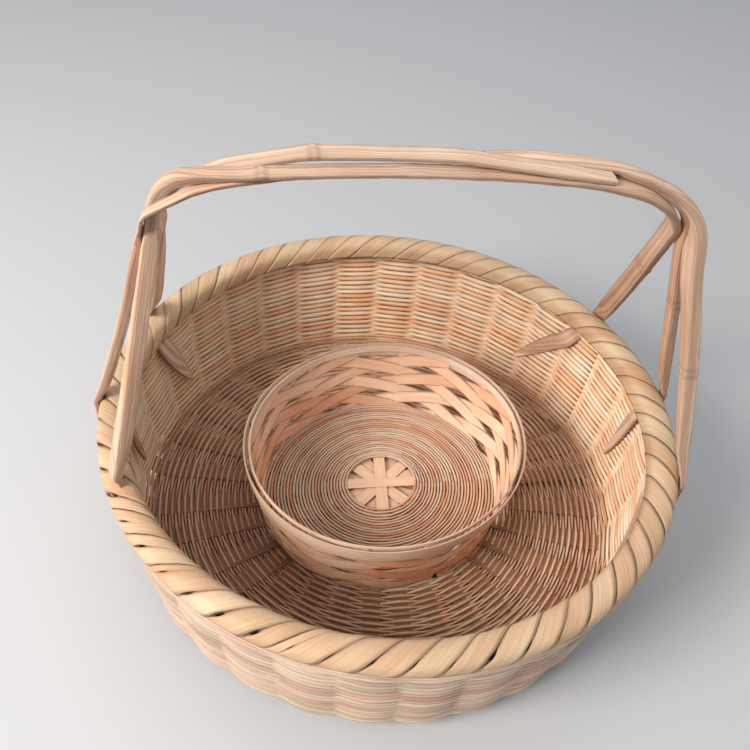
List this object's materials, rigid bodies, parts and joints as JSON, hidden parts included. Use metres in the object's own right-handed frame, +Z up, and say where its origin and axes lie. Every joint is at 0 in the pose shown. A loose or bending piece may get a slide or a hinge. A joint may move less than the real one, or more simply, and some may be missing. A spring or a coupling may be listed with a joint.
{
  "type": "bamboo basket with handle and inner basket",
  "caption": "Round woven bamboo basket with a splint-bound rim and a hooped carrying handle, with a small lattice-walled bamboo basket that stands loose in its middle.",
  "frame": {"origin": "on the ground under the middle of the basket", "axes": "+Z up, +X along the handle to the right as the picture shows it, -Y towards the front"},
  "size_m": [0.432, 0.4236, 0.3155],
  "materials": {
    "handle_bamboo": "split bamboo, smooth skin and fibrous cut edges, unvarnished",
    "rim_splint": "wide pale bamboo splint, cream-yellow with faint green and pink",
    "rim_core": "plain split bamboo hoop, hidden under the binding",
    "wall_weaver": "fine round bamboo weavers, warm tan inside and pale outside",
    "stake_splint": "flat bamboo splint",
    "lattice_splint": "thin flat bamboo splint, pinkish tan",
    "floor_weaver": "fine round bamboo weavers, pinkish tan"
  },
  "bodies": {
    "outer_basket": {"wall_weave": "wall_weaver", "floor_weave": "floor_weaver", "long_splint_across_1": "stake_splint", "long_splint_front_to_back_1": "stake_splint", "long_splint_across_2": "stake_splint", "long_splint_front_to_back_2": "stake_splint", "long_splint_across_3": "stake_splint", "long_splint_front_to_back_3": "stake_splint", "long_splint_across_4": "stake_splint", "long_splint_front_to_back_4": "stake_splint", "long_splint_across_5": "stake_splint", "long_splint_front_to_back_5": "stake_splint", "long_splint_across_6": "stake_splint", "long_splint_front_to_back_6": "stake_splint", "long_splint_across_7": "stake_splint", "long_splint_front_to_back_7": "stake_splint", "long_splint_across_8": "stake_splint", "long_splint_front_to_back_8": "stake_splint", "rim_hoop_inner": "rim_core", "rim_hoop_outer": "rim_core", "rim_binding": "rim_splint", "handle_hoop_front_left_to_back_right": "handle_bamboo", "handle_strip_back_left": "handle_bamboo", "handle_strip_front_right": "handle_bamboo", "handle_hoop_middle": "handle_bamboo"},
    "inner_basket": {"inner_basket_floor_weave": "floor_weaver", "inner_basket_star_splint_1": "lattice_splint", "inner_basket_star_splint_2": "lattice_splint", "inner_basket_star_splint_3": "lattice_splint", "inner_basket_star_splint_4": "lattice_splint", "inner_basket_star_splint_5": "lattice_splint", "inner_basket_star_splint_6": "lattice_splint", "inner_basket_star_splint_7": "lattice_splint", "inner_basket_star_splint_8": "lattice_splint", "inner_basket_lattice_left_1": "lattice_splint", "inner_basket_lattice_right_1": "lattice_splint", "inner_basket_lattice_left_2": "lattice_splint", "inner_basket_lattice_right_2": "lattice_splint", "inner_basket_lattice_left_3": "lattice_splint", "inner_basket_lattice_right_3": "lattice_splint", "inner_basket_lattice_left_4": "lattice_splint", "inner_basket_lattice_right_4": "lattice_splint", "inner_basket_lattice_left_5": "lattice_splint", "inner_basket_lattice_right_5": "lattice_splint", "inner_basket_lattice_left_6": "lattice_splint", "inner_basket_lattice_right_6": "lattice_splint", "inner_basket_lattice_left_7": "lattice_splint", "inner_basket_lattice_right_7": "lattice_splint", "inner_basket_lattice_left_8": "lattice_splint", "inner_basket_lattice_right_8": "lattice_splint", "inner_basket_rim_hoop_inner": "rim_splint", "inner_basket_rim_hoop_outer": "rim_splint"}
  },
  "joints": [
    {"name": "inner_basket_lift", "type": "slide", "parent": "outer_basket", "child": "inner_basket", "axis": [0, 0, 1], "range_m": [0, 0.2]}
  ]
}
